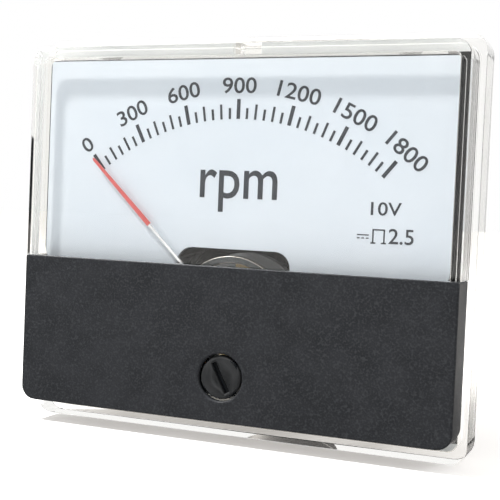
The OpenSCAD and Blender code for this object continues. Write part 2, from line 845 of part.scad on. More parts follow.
module coil_former() {
    color("#c9ced3") coil_frame(coil_half_w - winding_t, coil_half_len - winding_t, former_t, former_w);
}

module coil_winding() {
    color("#a8542a") coil_frame(coil_half_w, coil_half_len, winding_t, former_w - 0.3);
}

module pivot_staffs() {
    color("#aeb3b8") at_pivot() {
        rod(staff_d, staff_end_f, -coil_half_len - staff_end_f);
        rod(2 * collet_r, spring_f_y, spring_h);
        rod(staff_d, coil_half_len, staff_end_r - coil_half_len);
        rod(2 * collet_r, spring_r_y, spring_h);
    }
}

// A flat spiral strip from the collet out to the tab, by a steady rate per turn
function spiral_r(a) = spring_in_r + (spring_out_r - spring_in_r) * a / (360 * spring_turns);
function spiral_side(offset, last) =
    [for (a = [0:15:last]) let (r = spiral_r(a) + offset, b = 90 + a - last) [r * cos(b), r * sin(b)]];
spring_gap = (spring_out_r - spring_in_r) / spring_turns - spring_t;
module hairspring(y0) {
    last = 360 * spring_turns;
    echo("least gap between hairspring turns", spring_gap);
    inside = spiral_side(-spring_t / 2, last);
    outside = spiral_side(spring_t / 2, last);
    at_pivot() plate(y0, spring_h)
        polygon(concat(outside, [for (i = [len(inside) - 1:-1:0]) inside[i]]));
}

module front_hairspring() {
    color("#c78a3c") hairspring(spring_f_y);
}

module rear_hairspring() {
    color("#c78a3c") hairspring(spring_r_y);
}

module series_resistor() {
    leg_y = rear_in_y - pot_depth + 0.8 + running + leg_t / 2;
    tag_y = cup_in_y - tag_t / 2;
    tag_z = term_rise - tag_len + 1.2;
    low_z = pot_rise - pot_r - pot_leg_len + 2;
    a = [term_pitch / 2, tag_y, tag_z];
    b = [pot_leg_pitch, leg_y, low_z];
    mid_y = tag_y - 2.6;
    color("#c9b183") translate([(a[0] + b[0]) / 2 + 0.4 - resistor_l / 2, mid_y, tag_z - 3.2])
        rotate([0, 90, 0]) cylinder(d = resistor_d, h = resistor_l);
    color("#c9ced3") {
        wire([a + [0, 0.2, 0], a - [0, 1.4, 0], [a[0], mid_y, tag_z - 1.2],
            [a[0] - 0.6, mid_y, tag_z - 3.2], [(a[0] + b[0]) / 2, mid_y, tag_z - 3.2]], 0.5);
        wire([[(a[0] + b[0]) / 2, mid_y, tag_z - 3.2], [b[0] + 1, mid_y, tag_z - 3.2],
            [b[0], (mid_y + leg_y) / 2, low_z - 1.4], b - [0, 0, 0.8], b], 0.5);
    }
}

// Two insulated leads: control to front bridge, and left terminal to rear bridge
module lead_wires() {
    leg_y = rear_in_y - pot_depth + 0.8 + running - wire_d / 2;
    tag_y = cup_in_y - tag_t - wire_d / 2;
    low_z = pot_rise - pot_r - pot_leg_len + 2.4;
    tag_z = term_rise - tag_len + 1.2;
    color("#b3261e") wire([[-pot_leg_pitch, leg_y, low_z], [-6, 11, 0], [-12, 8, -2],
        [-17, 5, -4], [-18.5, 0, -6.4], [-17, -5, -8.4], [-14, -7.2, -10.4],
        [-bridge_half_w - 0.5, front_bridge_y + 0.7, pivot_z]], wire_d);
    color("#23262a") wire([[-term_pitch / 2, tag_y, tag_z], [-15, 14, -2], [-17, 12, -6],
        [-15, 10, -10], [-bridge_half_w - 0.5, rear_bridge_y + 0.7, pivot_z]], wire_d);
}

base_housing();
inner_frame();
front_cover();
lower_strip();
dial_plate();
dial_screws();
mounting_studs();
rear_cap();
terminal_studs();
terminal_washers();
terminal_nuts();
solder_tags();
pot_case();
pot_bushing();
pot_washer();
pot_nut();
pot_tags();
pot_shaft();
pot_wiper();
movement_frame();
frame_screws();
frame_pillars();
yoke_ring();
core_magnet();
core_straps();
front_bridge();
rear_bridge();
bridge_screws();
jewel_screws();
pointer_stops();
zero_screw();
zero_clip();
zero_lever();
pointer();
balance_weights();
coil_former();
coil_winding();
pivot_staffs();
front_hairspring();
rear_hairspring();
series_resistor();
lead_wires();
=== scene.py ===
import math

import bmesh
import bpy
from mathutils import Matrix, Vector


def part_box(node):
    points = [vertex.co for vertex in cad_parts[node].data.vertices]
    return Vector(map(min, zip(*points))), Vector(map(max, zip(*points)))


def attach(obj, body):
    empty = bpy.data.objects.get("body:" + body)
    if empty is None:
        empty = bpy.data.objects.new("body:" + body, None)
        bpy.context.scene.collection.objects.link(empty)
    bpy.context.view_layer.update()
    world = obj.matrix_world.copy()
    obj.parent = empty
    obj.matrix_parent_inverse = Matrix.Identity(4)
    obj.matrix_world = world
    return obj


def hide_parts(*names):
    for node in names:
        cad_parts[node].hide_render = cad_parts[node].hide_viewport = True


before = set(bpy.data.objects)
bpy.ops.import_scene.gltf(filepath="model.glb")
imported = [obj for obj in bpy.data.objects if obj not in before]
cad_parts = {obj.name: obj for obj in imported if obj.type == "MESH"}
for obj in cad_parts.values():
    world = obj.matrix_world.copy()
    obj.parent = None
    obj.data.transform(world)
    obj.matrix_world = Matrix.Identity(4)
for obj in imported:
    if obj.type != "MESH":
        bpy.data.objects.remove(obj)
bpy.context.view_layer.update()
mm = 0.001
print("frame loaded:", len(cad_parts), "nodes")


def feed(tree, socket, value):  # links another socket, or sets a fixed value
    if isinstance(value, bpy.types.NodeSocket):
        tree.links.new(value, socket)
    else:
        socket.default_value = value


def addNode(tree, kind, inputs=None, **settings):
    made = tree.nodes.new(kind)
    for key, value in settings.items():
        setattr(made, key, value)
    for key, value in (inputs or {}).items():
        feed(tree, made.inputs[key], value)
    return made


def mathNode(tree, operation, *values, clamp=False):
    made = addNode(tree, "ShaderNodeMath", dict(enumerate(values)), operation=operation, use_clamp=clamp)
    return made.outputs[0]


def mixNode(tree, share, first, second):  # a blend of two colours, each a socket or a tuple
    made = addNode(tree, "ShaderNodeMix", {"Factor": share}, data_type="RGBA")
    for key, colour in (("A", first), ("B", second)):
        feed(tree, made.inputs[key], (*colour, 1) if isinstance(colour, tuple) else colour)
    return made.outputs["Result"]


def product(tree, *factors):
    value = factors[0]
    for factor in factors[1:]:
        value = mathNode(tree, "MULTIPLY", value, factor)
    return value


def newGroup(name, kind, inputs, outputs):
    tree = bpy.data.node_groups.new(name, kind)
    for label, (socketKind, value) in inputs.items():
        socket = tree.interface.new_socket(label, in_out="INPUT", socket_type=socketKind)
        if value is not None:
            socket.default_value = value
    for label, socketKind in outputs.items():
        tree.interface.new_socket(label, in_out="OUTPUT", socket_type=socketKind)
    return tree, tree.nodes.new("NodeGroupInput").outputs, tree.nodes.new("NodeGroupOutput").inputs


# effects that several finishes share


def makeMouldGrain():  # fine pits and a slow mottle, for moulded and painted skins
    pitShare, fineShare = 0.45, 0.6
    tree, given, out = newGroup("mouldGrain", "ShaderNodeTree", {
        "Vector": ("NodeSocketVector", None), "Scale": ("NodeSocketFloat", 3000.0),
        "Mottle": ("NodeSocketFloat", 120.0)}, {"Grain": "NodeSocketFloat", "Shade": "NodeSocketFloat"})
    fine = addNode(tree, "ShaderNodeTexNoise", {"Vector": given["Vector"], "Scale": given["Scale"],
                                                "Detail": 3.0, "Roughness": 0.65})
    pits = addNode(tree, "ShaderNodeTexVoronoi", {"Vector": given["Vector"], "Scale": given["Scale"]})
    slow = addNode(tree, "ShaderNodeTexNoise", {"Vector": given["Vector"], "Scale": given["Mottle"],
                                                "Detail": 5.0, "Roughness": 0.55})
    grain = mathNode(tree, "MULTIPLY_ADD", pits.outputs["Distance"], pitShare,
                     mathNode(tree, "MULTIPLY", fine.outputs["Fac"], fineShare))
    tree.links.new(grain, out["Grain"])
    tree.links.new(slow.outputs["Fac"], out["Shade"])
    return tree


def makeHandlingMarks():  # hairline scratches and soft smears
    hairFineness = 60.0
    tree, given, out = newGroup("handlingMarks", "ShaderNodeTree", {
        "Vector": ("NodeSocketVector", None), "Scale": ("NodeSocketFloat", 60.0),
        "Amount": ("NodeSocketFloat", 0.5)},
        {"Scratches": "NodeSocketFloat", "Smears": "NodeSocketFloat"})
    turned = addNode(tree, "ShaderNodeMapping", {"Vector": given["Vector"],
                                                 "Rotation": (0.3, 0.9, 0.5), "Scale": (1.0, 14.0, 9.0)})
    lines = addNode(tree, "ShaderNodeTexNoise", {"Vector": turned.outputs[0], "Scale": given["Scale"],
                                                 "Detail": 2.0, "Distortion": 0.6})
    ridge = mathNode(tree, "ABSOLUTE", mathNode(tree, "SUBTRACT", lines.outputs["Fac"], 0.5))
    hair = mathNode(tree, "SUBTRACT", 1.0, mathNode(tree, "MULTIPLY", ridge, hairFineness), clamp=True)
    where = addNode(tree, "ShaderNodeTexNoise", {"Vector": given["Vector"], "Scale": given["Scale"],
                                                 "Detail": 4.0})
    patch = addNode(tree, "ShaderNodeMapRange", {"Value": where.outputs["Fac"], "From Min": 0.5,
                                                 "From Max": 0.72})
    tree.links.new(product(tree, hair, patch.outputs[0], given["Amount"]), out["Scratches"])
    tree.links.new(product(tree, patch.outputs[0], given["Amount"]), out["Smears"])
    return tree


def makeLatheLines():  # rings left by turning about an axis along Y
    tree, given, out = newGroup("latheLines", "ShaderNodeTree", {
        "Vector": ("NodeSocketVector", None), "Centre Z": ("NodeSocketFloat", 0.0),
        "Pitch": ("NodeSocketFloat", 0.00012)}, {"Height": "NodeSocketFloat"})
    parts = addNode(tree, "ShaderNodeSeparateXYZ", {"Vector": given["Vector"]})
    dx = parts.outputs["X"]
    dz = mathNode(tree, "SUBTRACT", parts.outputs["Z"], given["Centre Z"])
    radius = mathNode(tree, "SQRT", mathNode(tree, "ADD", product(tree, dx, dx), product(tree, dz, dz)))
    step = mathNode(tree, "DIVIDE", radius, given["Pitch"])
    rings = addNode(tree, "ShaderNodeCombineXYZ", {"X": step})
    noise = addNode(tree, "ShaderNodeTexNoise", {"Vector": rings.outputs[0], "Scale": 1.0,
                                                 "Detail": 2.0})
    tree.links.new(noise.outputs["Fac"], out["Height"])
    return tree


mouldGrain = makeMouldGrain()
handlingMarks = makeHandlingMarks()
latheLines = makeLatheLines()


def newMaterial(name):
    material = bpy.data.materials.new(name)
    material.use_nodes = True
    tree = material.node_tree
    shader = tree.nodes["Principled BSDF"]
    place = tree.nodes.new("ShaderNodeTexCoord").outputs["Object"]
    return material, tree, shader, place


def placeGroup(tree, group, inputs):
    return addNode(tree, "ShaderNodeGroup", inputs, node_tree=group).outputs


def ramp(tree, value, span, colours):
    share = addNode(tree, "ShaderNodeMapRange", {"Value": value, "From Min": span[0],
                                                 "From Max": span[1]})
    return mixNode(tree, share.outputs[0], *colours)


def grainAndMarks(tree, place, look):
    grain = {"Vector": place, "Scale": look["grain"], "Mottle": look["mottle"]}
    marks = {"Vector": place, "Scale": look["markScale"], "Amount": look["marks"]}
    return placeGroup(tree, mouldGrain, grain), placeGroup(tree, handlingMarks, marks)


def addBump(tree, shader, height, strength, depth):
    bump = addNode(tree, "ShaderNodeBump", {"Height": height, "Strength": strength, "Distance": depth})
    tree.links.new(bump.outputs[0], shader.inputs["Normal"])


def addRoughness(tree, shader, shade, smears, span, smear):  # mottled, and duller where smeared
    low, high = span
    rough = mathNode(tree, "MULTIPLY_ADD", shade, high - low, low)
    rough = mathNode(tree, "MULTIPLY_ADD", smears, smear, rough, clamp=True)
    tree.links.new(rough, shader.inputs["Roughness"])


def skinFinish(name, look):  # moulded plastic, enamel, paint and sheet
    look = {"markScale": 70.0, "marks": 0.3, "smear": 0.12, "depth": 0.00004, "specular": 0.5,
            "scratchDepth": 0.8, "coatRough": 0.08, "shade": (0.35, 0.65), "specks": (0.52, 0.72),
            **look}
    material, tree, shader, place = newMaterial(name)
    grain, marks = grainAndMarks(tree, place, look)
    colour = ramp(tree, grain["Shade"], look["shade"], look["colours"])
    if "speck" in look:
        colour = ramp(tree, grain["Grain"], look["specks"], (colour, look["speck"]))
    tree.links.new(colour, shader.inputs["Base Color"])
    addRoughness(tree, shader, grain["Shade"], marks["Smears"], look["rough"], look["smear"])
    cut = product(tree, marks["Scratches"], look["scratchDepth"])
    addBump(tree, shader, mathNode(tree, "SUBTRACT", grain["Grain"], cut), look["bump"], look["depth"])
    shader.inputs["IOR"].default_value = 1.5
    shader.inputs["Specular IOR Level"].default_value = look["specular"]
    if "coat" in look:
        shader.inputs["Coat Weight"].default_value = look["coat"]
        shader.inputs["Coat Roughness"].default_value = look["coatRough"]
    return material


def metalFinish(name, look):  # plated, turned and plain metal
    look = {"grain": 2500.0, "mottle": 300.0, "markScale": 160.0, "marks": 0.5, "smear": 0.1, "z": 0.0,
            "pitch": 0.00012, "rings": 0.3, "pits": 0.3, "bump": 0.25, "depth": 0.00002,
            "shade": (0.3, 0.7), **look}
    material, tree, shader, place = newMaterial(name)
    grain, marks = grainAndMarks(tree, place, look)
    rings = placeGroup(tree, latheLines, {"Vector": place, "Centre Z": look["z"],
                                          "Pitch": look["pitch"]})
    colour = ramp(tree, grain["Shade"], look["shade"], look["colours"])
    tree.links.new(colour, shader.inputs["Base Color"])
    shader.inputs["Metallic"].default_value = 1.0
    addRoughness(tree, shader, grain["Shade"], marks["Smears"], look["rough"], look["smear"])
    height = mathNode(tree, "MULTIPLY_ADD", rings["Height"], look["rings"],
                      product(tree, grain["Grain"], look["pits"]))
    height = mathNode(tree, "SUBTRACT", height, marks["Scratches"])
    addBump(tree, shader, height, look["bump"], look["depth"])
    return material


def clearFinish(name, look):  # clear moulding: glassy, with faint flow lines and dust
    material, tree, shader, place = newMaterial(name)
    grain, marks = grainAndMarks(tree, place, look)
    colour = ramp(tree, grain["Shade"], look["shade"], look["colours"])
    tree.links.new(colour, shader.inputs["Base Color"])
    rough = mathNode(tree, "MULTIPLY_ADD", marks["Smears"], look["smear"], look["rough"])
    tree.links.new(rough, shader.inputs["Roughness"])
    addBump(tree, shader, grain["Shade"], look["bump"], look["depth"])
    shader.inputs["Transmission Weight"].default_value = 1.0
    shader.inputs["IOR"].default_value = look["ior"]
    # steep light enters freely through the walls, is dimmed by the window and stopped at its edge
    depth = addNode(tree, "ShaderNodeSeparateXYZ", {"Vector": place}).outputs["Y"]
    facing = tree.nodes.new("ShaderNodeNewGeometry").outputs["Normal"]
    facing = addNode(tree, "ShaderNodeSeparateXYZ", {"Vector": facing}).outputs["Y"]
    inWall = mathNode(tree, "LESS_THAN", mathNode(tree, "ABSOLUTE", facing), look["wallBelow"])
    inPane = product(tree, mathNode(tree, "GREATER_THAN", depth, look["paneEdge"][0]),
                     mathNode(tree, "LESS_THAN", depth, look["paneEdge"][1]))
    passed = mixNode(tree, inWall, look["passes"], look["wallPasses"])
    passed = mixNode(tree, product(tree, inWall, inPane), passed, look["edgePasses"])
    straight = addNode(tree, "ShaderNodeBsdfTransparent", {"Color": passed})
    path = tree.nodes.new("ShaderNodeLightPath").outputs
    lit = addNode(tree, "ShaderNodeMixShader", {
        0: mathNode(tree, "MAXIMUM", path["Is Shadow Ray"], path["Is Diffuse Ray"]),
        1: shader.outputs[0], 2: straight.outputs[0]})
    tree.links.new(lit.outputs[0], tree.nodes["Material Output"].inputs["Surface"])
    return material


finishes = {
    "housingBlack": skinFinish("housingBlack", {
        "colours": ((0.003, 0.0038, 0.005), (0.006, 0.007, 0.0085)), "rough": (0.1, 0.2),
        "grain": 1800.0, "mottle": 90.0, "bump": 0.12, "marks": 0.5, "markScale": 55.0}),
    "capBlack": skinFinish("capBlack", {
        "colours": ((0.004, 0.0045, 0.008), (0.008, 0.009, 0.014)), "rough": (0.2, 0.3), "grain": 2600.0,
        "mottle": 150.0, "bump": 0.12, "marks": 0.4}),
    "stripCharcoal": skinFinish("stripCharcoal", {
        "colours": ((0.015, 0.0165, 0.0195), (0.021, 0.0225, 0.0265)), "rough": (0.5, 0.62),
        "grain": 3600.0, "mottle": 260.0, "bump": 0.5, "depth": 0.00006, "marks": 0.15,
        "speck": (0.034, 0.036, 0.04), "specular": 0.35}),
    "screwBlack": skinFinish("screwBlack", {
        "colours": ((0.018, 0.019, 0.02), (0.032, 0.033, 0.034)), "rough": (0.24, 0.34), "grain": 2200.0,
        "mottle": 400.0, "bump": 0.2, "marks": 0.6, "markScale": 200.0}),
    # the pale moulding on the housing's outer sides: the frame's white made darker, as painted shade
    "rimShadedWhite": skinFinish("rimShadedWhite", {
        "colours": ((0.64, 0.625, 0.6), (0.72, 0.705, 0.68)), "rough": (0.4, 0.5), "grain": 2600.0,
        "mottle": 140.0, "bump": 0.12}),
    "frameWhite": skinFinish("frameWhite", {
        "colours": ((0.8, 0.81, 0.8), (0.86, 0.865, 0.85)), "rough": (0.42, 0.55), "grain": 2600.0,
        "mottle": 140.0, "bump": 0.12, "marks": 0.15}),
    "dialEnamel": skinFinish("dialEnamel", {
        "colours": ((0.695, 0.747, 0.8), (0.725, 0.772, 0.82)), "rough": (0.38, 0.48), "grain": 2800.0,
        "mottle": 60.0, "bump": 0.06, "marks": 0.1}),
    "dialInk": skinFinish("dialInk", {
        "colours": ((0.018, 0.022, 0.03), (0.03, 0.034, 0.042)), "rough": (0.5, 0.6), "grain": 5000.0,
        "mottle": 600.0, "bump": 0.1}),
    "needleRed": skinFinish("needleRed", {
        "colours": ((0.6, 0.1, 0.09), (0.68, 0.13, 0.12)), "rough": (0.4, 0.5), "grain": 4000.0,
        "mottle": 300.0, "bump": 0.1}),
    "clearPlastic": clearFinish("clearPlastic", {
        "colours": ((0.978, 0.972, 0.95), (0.99, 0.985, 0.968)), "shade": (0.3, 0.7), "rough": 0.015,
        "smear": 0.06, "grain": 1500.0, "mottle": 45.0, "bump": 0.05, "depth": 0.0001, "marks": 0.5,
        "markScale": 50.0, "ior": 1.49, "wallBelow": 0.7, "paneEdge": (-0.0117, -0.0107),
        "passes": (0.9, 0.91, 0.92), "wallPasses": (0.985, 0.985, 0.98),
        "edgePasses": (0.12, 0.14, 0.16)}),
    "nickelPlate": metalFinish("nickelPlate", {
        "colours": ((0.66, 0.61, 0.54), (0.78, 0.74, 0.68)), "rough": (0.2, 0.34)}),
    "chromePlate": metalFinish("chromePlate", {
        "colours": ((0.42, 0.43, 0.45), (0.58, 0.59, 0.6)), "rough": (0.06, 0.14), "z": 0.0124}),
    "zincPlate": metalFinish("zincPlate", {
        "colours": ((0.36, 0.39, 0.41), (0.52, 0.54, 0.55)), "rough": (0.14, 0.26), "z": 0.0124,
        "rings": 0.6}),
    # painted shade: a dark metal for the shaft slot's walls and the line along the dial's edges
    "paintedShade": metalFinish("paintedShade", {
        "colours": ((0.03, 0.03, 0.032), (0.06, 0.06, 0.062)), "rough": (0.4, 0.5)}),
    "goldBrass": metalFinish("goldBrass", {
        "colours": ((0.72, 0.63, 0.48), (0.82, 0.76, 0.64)), "rough": (0.16, 0.28)}),
    "turnedBrass": metalFinish("turnedBrass", {
        "colours": ((0.6, 0.44, 0.2), (0.72, 0.56, 0.3)), "rough": (0.24, 0.38), "z": -0.0116,
        "rings": 0.6}),
    "plainSteel": metalFinish("plainSteel", {
        "colours": ((0.42, 0.43, 0.44), (0.58, 0.59, 0.6)), "rough": (0.28, 0.42)}),
    "greyIron": metalFinish("greyIron", {
        "colours": ((0.24, 0.25, 0.26), (0.34, 0.35, 0.36)), "rough": (0.38, 0.52), "z": -0.0116,
        "rings": 0.5}),
    "darkRing": metalFinish("darkRing", {
        "colours": ((0.055, 0.06, 0.063), (0.085, 0.09, 0.094)), "rough": (0.4, 0.55), "z": -0.0116,
        "rings": 0.3}),
    "sinteredMagnet": skinFinish("sinteredMagnet", {
        "colours": ((0.05, 0.05, 0.055), (0.08, 0.08, 0.085)), "rough": (0.5, 0.65), "grain": 3200.0,
        "mottle": 500.0, "bump": 0.5}),
    "sheetAluminium": metalFinish("sheetAluminium", {
        "colours": ((0.66, 0.67, 0.69), (0.78, 0.79, 0.8)), "rough": (0.3, 0.42)}),
    "springBronze": metalFinish("springBronze", {
        "colours": ((0.62, 0.36, 0.17), (0.74, 0.48, 0.26)), "rough": (0.2, 0.3)}),
    "copperCoil": metalFinish("copperCoil", {
        "colours": ((0.5, 0.19, 0.08), (0.68, 0.3, 0.14)), "rough": (0.25, 0.36), "bump": 0.6}),
    "boardBrown": skinFinish("boardBrown", {
        "colours": ((0.16, 0.07, 0.03), (0.24, 0.11, 0.05)), "rough": (0.4, 0.55), "grain": 2600.0,
        "mottle": 700.0, "bump": 0.3}),
    "lacquerTan": skinFinish("lacquerTan", {
        "colours": ((0.52, 0.38, 0.2), (0.6, 0.46, 0.26)), "rough": (0.25, 0.35), "grain": 2400.0,
        "mottle": 500.0, "bump": 0.15, "coat": 0.4}),
    "sleeveBlack": skinFinish("sleeveBlack", {
        "colours": ((0.014, 0.014, 0.015), (0.024, 0.024, 0.026)), "rough": (0.4, 0.5), "grain": 2400.0,
        "mottle": 300.0, "bump": 0.2}),
}
print("finishes made:", len(finishes))


# distances in m at which points merge, and angles in degrees that count as flat or as an edge
weld = {"made": 1e-6, "loaded": 2e-6, "flatAngle": 0.8, "edgeAngle": 30}


def sharpen(mesh, degrees):
    for face in mesh.polygons:
        face.use_smooth = True
    mesh.set_sharp_from_angle(angle=math.radians(degrees))


def bakeMesh(obj):
    graph = bpy.context.evaluated_depsgraph_get()
    mesh = bpy.data.meshes.new_from_object(obj.evaluated_get(graph), depsgraph=graph)
    bpy.data.objects.remove(obj)
    return mesh


def looseObject(mesh):
    obj = bpy.data.objects.new("making", mesh)
    bpy.context.scene.collection.objects.link(obj)
    return obj


def tidyMesh(mesh):
    bm = bmesh.new()
    bm.from_mesh(mesh)
    bmesh.ops.remove_doubles(bm, verts=bm.verts, dist=weld["made"])
    bmesh.ops.recalc_face_normals(bm, faces=bm.faces)
    bm.to_mesh(mesh)
    bm.free()
    return mesh


def alongY(node):  # where a node starts and ends along Y, in mm
    return [corner.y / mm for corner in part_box(node)]


def addPiece(name, mesh, body, stands=(), sharp=35):
    sharpen(mesh, sharp)
    obj = looseObject(mesh)
    even = obj.modifiers.new("even", "WEIGHTED_NORMAL")
    even.keep_sharp = True
    mesh = bakeMesh(obj)
    obj = looseObject(mesh)
    obj.name = mesh.name = name
    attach(obj, body)
    if stands:
        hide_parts(*stands)
    return obj


def softCopy(node, width, segments=2):  # the node's own form with worn edges
    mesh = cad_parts[node].data.copy()
    bm = bmesh.new()
    bm.from_mesh(mesh)
    bmesh.ops.remove_doubles(bm, verts=bm.verts, dist=weld["loaded"])
    bmesh.ops.dissolve_limit(bm, angle_limit=math.radians(weld["flatAngle"]), verts=bm.verts,
                             edges=bm.edges)
    bmesh.ops.recalc_face_normals(bm, faces=bm.faces)
    bm.to_mesh(mesh)
    bm.free()
    if width <= 0:
        return mesh
    obj = looseObject(mesh)
    bevel = obj.modifiers.new("edge", "BEVEL")
    bevel.width = width * mm
    bevel.segments = segments
    bevel.limit_method = "ANGLE"
    bevel.angle_limit = math.radians(weld["edgeAngle"])
    bevel.use_clamp_overlap = True
    return bakeMesh(obj)


def turnedMesh(profile, steps, z):  # profile of (radius, y) in mm, about an axis along Y at height z
    bm = bmesh.new()
    rings = []
    for radius, y in profile:
        if radius <= 0:
            rings.append([bm.verts.new((0, y * mm, z * mm))])
            continue
        angles = [2 * math.pi * i / steps for i in range(steps)]
        rings.append([bm.verts.new((radius * math.cos(angle) * mm, y * mm,
                                    (z + radius * math.sin(angle)) * mm)) for angle in angles])
    for a, b in zip(rings, rings[1:]):
        for i in range(steps):
            j = (i + 1) % steps
            corners = [a[i % len(a)], a[j % len(a)], b[j % len(b)], b[i % len(b)]]
            corners = list(dict.fromkeys(corners))
            if len(corners) > 2:
                bm.faces.new(corners)
    bmesh.ops.recalc_face_normals(bm, faces=bm.faces)
    mesh = bpy.data.meshes.new("turned")
    bm.to_mesh(mesh)
    bm.free()
    return mesh


def arcPoints(cx, cy, r, start, end, count):
    angles = [math.radians(start + (end - start) * i / count) for i in range(count + 1)]
    return [(cx + r * math.cos(angle), cy + r * math.sin(angle)) for angle in angles]


def joinMeshes(meshes):
    bm = bmesh.new()
    for mesh in meshes:
        bm.from_mesh(mesh)
    joined = bpy.data.meshes.new("joined")
    bm.to_mesh(joined)
    bm.free()
    return joined


def cutMesh(mesh, cutter, operation="DIFFERENCE"):
    obj, tool = looseObject(mesh), looseObject(cutter)
    cut = obj.modifiers.new("cut", "BOOLEAN")
    cut.operation = operation
    cut.object = tool
    cut.solver = "EXACT"
    made = bakeMesh(obj)
    bpy.data.objects.remove(tool)
    return tidyMesh(made)


def boxMesh(low, high):
    bm = bmesh.new()
    bmesh.ops.create_cube(bm, size=1.0)
    low, high = Vector(low), Vector(high)
    for vert in bm.verts:
        vert.co = ((low + high) / 2 + vert.co * (high - low)) * mm
    mesh = bpy.data.meshes.new("box")
    bm.to_mesh(mesh)
    bm.free()
    return mesh


def runTree(tree, values):  # evaluates a Geometry Nodes tree into a plain mesh
    obj = looseObject(bpy.data.meshes.new("grown"))
    modifier = obj.modifiers.new("grow", "NODES")
    modifier.node_group = tree
    for item in tree.interface.items_tree:
        if item.in_out == "INPUT" and item.name in values:
            modifier[item.identifier] = values[item.name]
    return tidyMesh(bakeMesh(obj))


def geometryTree(name, inputs):
    sockets = {k: ("NodeSocketInt" if isinstance(v, int) else "NodeSocketFloat", v)
               for k, v in inputs.items()}
    sockets["Material"] = ("NodeSocketMaterial", None)
    return newGroup(name, "GeometryNodeTree", sockets, {"Geometry": "NodeSocketGeometry"})


def finishTree(tree, geometry, given, out):
    real = addNode(tree, "GeometryNodeRealizeInstances", {"Geometry": geometry})
    dressed = addNode(tree, "GeometryNodeSetMaterial", {"Geometry": real.outputs[0],
                                                        "Material": given["Material"]})
    tree.links.new(dressed.outputs[0], out["Geometry"])
    return tree


def makeGroovedRod():  # a rod along Y with a screw thread or a straight knurl, at each point of a grid
    tree, given, out = geometryTree("groovedRod", {
        "Radius": 0.0015, "Depth": 0.0002, "Along Rate": 2000.0, "Around Rate": -1.0, "Crest": 1.3,
        "Length": 0.009, "Start": 0.0, "Chamfer": 0.0003, "Columns": 32, "Rows": 100,
        "Across": 1, "Up": 1, "Pitch X": 0.048, "Pitch Z": 0.048, "Centre Z": 0.0})
    grid = addNode(tree, "GeometryNodeMeshGrid", {"Size X": 1.0, "Size Y": 1.0,
        "Vertices X": mathNode(tree, "ADD", given["Columns"], 1.0),
        "Vertices Y": mathNode(tree, "ADD", given["Rows"], 1.0)})
    place = tree.nodes.new("GeometryNodeInputPosition").outputs[0]
    place = addNode(tree, "ShaderNodeSeparateXYZ", {"Vector": place})
    u = mathNode(tree, "ADD", place.outputs["X"], 0.5)
    v = mathNode(tree, "MULTIPLY", mathNode(tree, "ADD", place.outputs["Y"], 0.5), given["Length"])
    phase = mathNode(tree, "MULTIPLY_ADD", u, given["Around Rate"],
                     product(tree, v, given["Along Rate"]))
    wave = product(tree, mathNode(tree, "PINGPONG", phase, 0.5), 2.0)
    crest = mathNode(tree, "MULTIPLY", wave, given["Crest"], clamp=True)
    low = product(tree, mathNode(tree, "SUBTRACT", 1.0, crest), given["Depth"])
    radius = mathNode(tree, "SUBTRACT", given["Radius"], low)
    fromEnd = mathNode(tree, "MINIMUM", v, mathNode(tree, "SUBTRACT", given["Length"], v))
    endRadius = mathNode(tree, "SUBTRACT", given["Radius"], given["Chamfer"])
    radius = mathNode(tree, "MINIMUM", radius, mathNode(tree, "ADD", endRadius, fromEnd))
    angle = mathNode(tree, "MULTIPLY", u, 2 * math.pi)
    spot = addNode(tree, "ShaderNodeCombineXYZ", {
        "X": product(tree, mathNode(tree, "COSINE", angle), radius),
        "Y": mathNode(tree, "ADD", v, given["Start"]),
        "Z": product(tree, mathNode(tree, "SINE", angle), radius)})
    side = addNode(tree, "GeometryNodeSetPosition", {"Geometry": grid.outputs["Mesh"],
                                                     "Position": spot.outputs[0]})
    join = tree.nodes.new("GeometryNodeJoinGeometry")
    tree.links.new(side.outputs[0], join.inputs[0])
    for along in (given["Start"], mathNode(tree, "ADD", given["Start"], given["Length"])):
        disc = addNode(tree, "GeometryNodeMeshCircle", {"Vertices": given["Columns"],
                                                        "Radius": endRadius}, fill_type="NGON")
        there = addNode(tree, "ShaderNodeCombineXYZ", {"Y": along})
        lid = addNode(tree, "GeometryNodeTransform", {"Geometry": disc.outputs["Mesh"],
            "Translation": there.outputs[0], "Rotation": (math.pi / 2, 0, 0)})
        tree.links.new(lid.outputs[0], join.inputs[0])
    rod = addNode(tree, "GeometryNodeMergeByDistance", {"Geometry": join.outputs[0], "Distance": 1e-6})
    spots = addNode(tree, "GeometryNodeMeshGrid", {"Size X": given["Pitch X"],
        "Size Y": given["Pitch Z"], "Vertices X": given["Across"], "Vertices Y": given["Up"]})
    lift = addNode(tree, "ShaderNodeCombineXYZ", {"Z": given["Centre Z"]})
    upright = addNode(tree, "GeometryNodeTransform", {"Geometry": spots.outputs["Mesh"],
        "Translation": lift.outputs[0], "Rotation": (math.pi / 2, 0, 0)})
    many = addNode(tree, "GeometryNodeInstanceOnPoints", {"Points": upright.outputs[0],
                                                          "Instance": rod.outputs[0]})
    return finishTree(tree, many.outputs[0], given, out)


